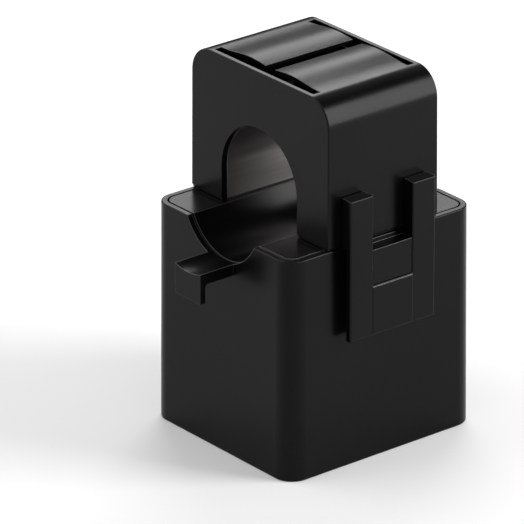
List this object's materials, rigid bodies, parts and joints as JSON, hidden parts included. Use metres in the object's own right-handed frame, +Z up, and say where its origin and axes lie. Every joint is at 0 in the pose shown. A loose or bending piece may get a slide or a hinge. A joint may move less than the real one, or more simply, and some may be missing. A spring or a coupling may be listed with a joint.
{
  "type": "current transformer",
  "caption": "Split-core current transformer: hinged cap over an arched conductor window, sprung core half, rocking side latch, tie bars and rear screw terminals.",
  "frame": {"origin": "centre of the flat base of the lower housing", "axes": "+Z up, the conductor passes along Y, latch on +X, hinge on -X, screw terminals on +Y"},
  "size_m": [0.0526, 0.0674, 0.0832],
  "materials": {
    "housing_plastic": "satin black moulded plastic",
    "core_steel": "ground edges of wound strip",
    "pad_rubber": "matte",
    "bobbin_plastic": "satin natural nylon",
    "enamelled_copper": "enamelled wire",
    "coil_tape": "film tape",
    "terminal_brass": "bright",
    "screw_steel": "zinc plated"
  },
  "bodies": {
    "base": {"housing": "housing_plastic", "core_cover": "housing_plastic", "lower_core": "core_steel", "bobbin": "bobbin_plastic", "winding": "enamelled_copper", "winding_tape": "coil_tape", "winding_leads": "enamelled_copper", "terminal_block": "housing_plastic", "terminal_clamps": "terminal_brass", "terminal_screws": "screw_steel", "hinge_pin": "screw_steel", "latch_pin": "screw_steel"},
    "cap": {"cap": "housing_plastic", "upper_core": "core_steel", "core_pad": "pad_rubber"},
    "latch": {"latch": "housing_plastic"}
  },
  "joints": [
    {"name": "cap_open", "type": "hinge", "parent": "base", "child": "cap", "pos_m": [-0.0246, 0, 0.05], "axis": [0, -1, 0], "range_deg": [0, 110]},
    {"name": "latch_press", "type": "hinge", "parent": "base", "child": "latch", "pos_m": [0.02425, 0, 0.04473], "axis": [0, 1, 0], "range_deg": [0, 6], "stiffness_Nm_per_rad": 0.2}
  ]
}
